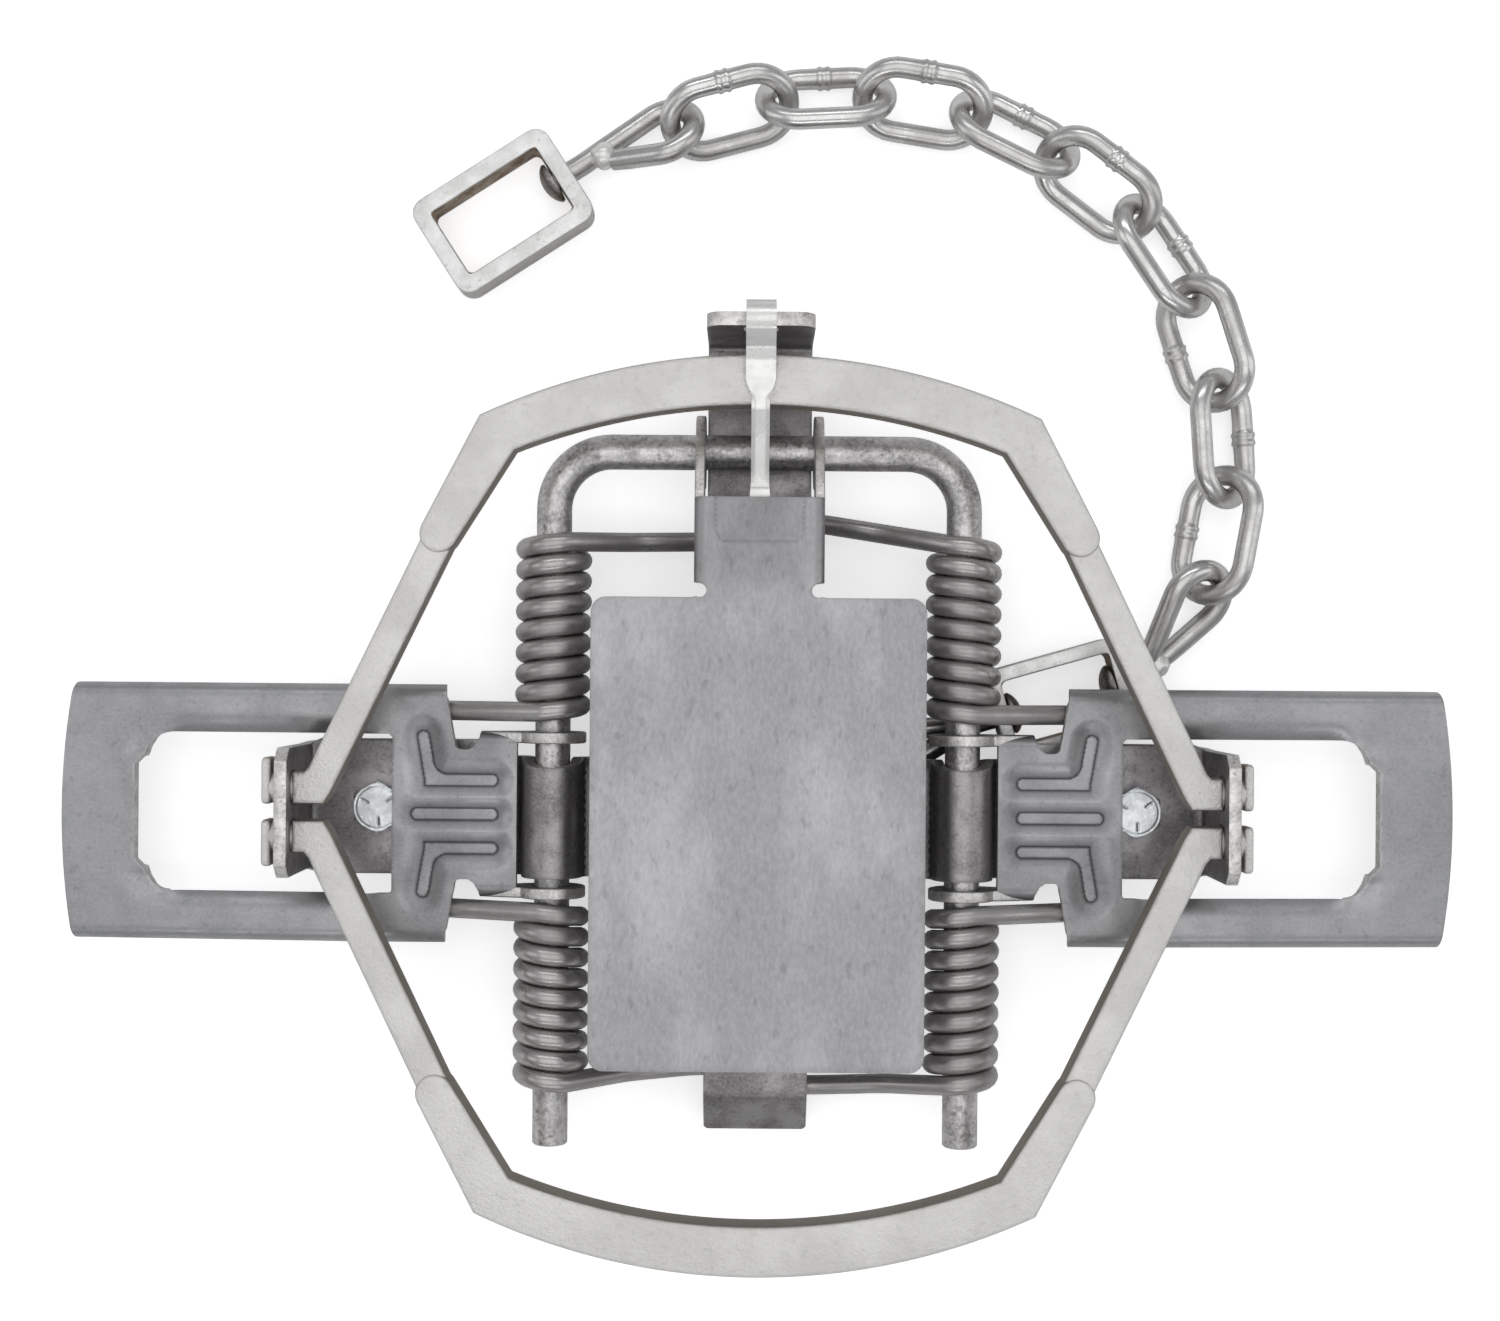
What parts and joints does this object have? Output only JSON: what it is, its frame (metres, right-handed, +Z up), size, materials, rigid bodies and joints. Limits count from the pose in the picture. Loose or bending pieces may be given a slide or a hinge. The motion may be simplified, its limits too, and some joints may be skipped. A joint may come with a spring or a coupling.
{
  "type": "leghold trap",
  "caption": "Steel foothold trap laid open and set: two cast bow jaws, stamped levers, torsion springs, pan, dog, and a swivelled chain with a ring.",
  "frame": {"origin": "on the floor under the middle of the base, at the centre of the lower channel's underside", "axes": "+X along the base towards the lever on the chain's side, +Y towards the dog, +Z up"},
  "size_m": [0.3336, 0.2885, 0.0453],
  "materials": {
    "dark_steel": "dark mill scale, satin",
    "stamped_steel": "satin grey, worn edges",
    "cast_steel": "sand blasted, matt",
    "pan_steel": "mottled satin",
    "spring_steel": "oiled, semi gloss",
    "bright_dog": "tumbled bright",
    "link_steel": "tumbled, satin",
    "eye_steel": "tumbled, darker heads",
    "bright_bar": "bright sawn bar",
    "zinc_plate": "zinc plated"
  },
  "bodies": {
    "frame": {"base_frame": "dark_steel", "lower_plate": "dark_steel", "bolt_left": "zinc_plate", "bolt_right": "zinc_plate", "u_rod": "dark_steel", "cross_strap": "dark_steel", "spring_upper_left": "spring_steel", "spring_upper_right": "spring_steel", "spring_lower_left": "spring_steel", "spring_lower_right": "spring_steel"},
    "lever_left": {"lever_left": "stamped_steel"},
    "lever_right": {"lever_right": "stamped_steel"},
    "jaw_upper": {"jaw_upper": "cast_steel"},
    "jaw_lower": {"jaw_lower": "cast_steel"},
    "pan": {"pan": "pan_steel"},
    "dog": {"dog": "bright_dog"},
    "inner_eye": {"inner_eye": "eye_steel"},
    "inner_box": {"inner_box": "bright_bar"},
    "outer_eye": {"outer_eye": "eye_steel"},
    "link_01": {"link_01": "link_steel"},
    "link_02": {"link_02": "link_steel"},
    "link_03": {"link_03": "link_steel"},
    "link_04": {"link_04": "link_steel"},
    "link_05": {"link_05": "link_steel"},
    "link_06": {"link_06": "link_steel"},
    "link_07": {"link_07": "link_steel"},
    "link_08": {"link_08": "link_steel"},
    "link_09": {"link_09": "link_steel"},
    "end_eye": {"end_eye": "eye_steel"},
    "end_box": {"end_box": "bright_bar"}
  },
  "joints": [
    {"name": "jaw_upper_swing", "type": "hinge", "parent": "frame", "child": "jaw_upper", "pos_m": [0, 0.0056, 0.0317], "axis": [1, 0, 0], "range_deg": [0, 90]},
    {"name": "jaw_lower_swing", "type": "hinge", "parent": "frame", "child": "jaw_lower", "pos_m": [0, -0.0056, 0.0317], "axis": [-1, 0, 0], "range_deg": [0, 90]},
    {"name": "lever_left_lift", "type": "hinge", "parent": "frame", "child": "lever_left", "pos_m": [-0.049, 0, 0.0174], "axis": [0, 1, 0], "range_deg": [0, 37], "deforming": ["spring_upper_left", "spring_lower_left"]},
    {"name": "lever_right_lift", "type": "hinge", "parent": "frame", "child": "lever_right", "pos_m": [0.049, 0, 0.0174], "axis": [0, -1, 0], "range_deg": [0, 37], "deforming": ["spring_upper_right", "spring_lower_right"]},
    {"name": "pan_tilt", "type": "hinge", "parent": "frame", "child": "pan", "pos_m": [0, 0.0854, 0.0174], "axis": [1, 0, 0], "range_deg": [0, 6.4]},
    {"name": "dog_throw", "type": "hinge", "parent": "frame", "child": "dog", "pos_m": [0, 0.1136, 0.0403], "axis": [-1, 0, 0], "range_deg": [0, 150]},
    {"name": "inner_eye_swing", "type": "hinge", "parent": "frame", "child": "inner_eye", "pos_m": [0.0193, 0.0092, 0.0061], "axis": [0, 0, 1], "range_deg": [-0.4, 1.5]},
    {"name": "inner_box_swivel", "type": "hinge", "parent": "inner_eye", "child": "inner_box", "pos_m": [0.0743, 0.0269, 0.0048], "axis": [0.9613, 0.2756, 0], "range_deg": [-3, 3]},
    {"name": "outer_eye_swivel", "type": "hinge", "parent": "inner_box", "child": "outer_eye", "pos_m": [0.0743, 0.0269, 0.0048], "axis": [0.9613, 0.2756, 0], "range_deg": [-4, 4]},
    {"name": "link_01_turn", "type": "hinge", "parent": "outer_eye", "child": "link_01", "pos_m": [0.10936, 0.05543, 0.00869], "axis": [0, 0, 1], "range_deg": [-10, 1]},
    {"name": "link_02_turn", "type": "hinge", "parent": "link_01", "child": "link_02", "pos_m": [0.11349, 0.07887, 0.00869], "axis": [0, 0, 1], "range_deg": [-10, 1]},
    {"name": "link_03_turn", "type": "hinge", "parent": "link_02", "child": "link_03", "pos_m": [0.11184, 0.10261, 0.00869], "axis": [0, 0, 1], "range_deg": [-10, 1]},
    {"name": "link_04_turn", "type": "hinge", "parent": "link_03", "child": "link_04", "pos_m": [0.10448, 0.12524, 0.00869], "axis": [0, 0, 1], "range_deg": [-10, 1]},
    {"name": "link_05_turn", "type": "hinge", "parent": "link_04", "child": "link_05", "pos_m": [0.09117, 0.14497, 0.00869], "axis": [0, 0, 1], "range_deg": [-10, 1]},
    {"name": "link_06_turn", "type": "hinge", "parent": "link_05", "child": "link_06", "pos_m": [0.07216, 0.1593, 0.00869], "axis": [0, 0, 1], "range_deg": [-10, 1]},
    {"name": "link_07_turn", "type": "hinge", "parent": "link_06", "child": "link_07", "pos_m": [0.05077, 0.16973, 0.00869], "axis": [0, 0, 1], "range_deg": [-10, 1]},
    {"name": "link_08_turn", "type": "hinge", "parent": "link_07", "child": "link_08", "pos_m": [0.02727, 0.17345, 0.00869], "axis": [0, 0, 1], "range_deg": [-10, 1]},
    {"name": "link_09_turn", "type": "hinge", "parent": "link_08", "child": "link_09", "pos_m": [0.0035, 0.17221, 0.00869], "axis": [0, 0, 1], "range_deg": [-10, 1]},
    {"name": "end_eye_turn", "type": "hinge", "parent": "link_09", "child": "end_eye", "pos_m": [-0.01949, 0.16605, 0.00869], "axis": [0, 0, 1], "range_deg": [-10, 1]},
    {"name": "end_box_spin", "type": "hinge", "parent": "end_eye", "child": "end_box", "pos_m": [-0.06307, 0.14475, 0.0048], "axis": [0.8387, 0.5446, 0], "continuous": true}
  ],
  "couplings": [
    {"joint": "jaw_lower_swing", "follows": "jaw_upper_swing", "ratio": 1},
    {"joint": "lever_left_lift", "follows": "jaw_upper_swing", "ratio": 0.41},
    {"joint": "lever_right_lift", "follows": "jaw_upper_swing", "ratio": 0.41},
    {"joint": "dog_throw", "follows": "pan_tilt", "ratio": 23.4}
  ]
}
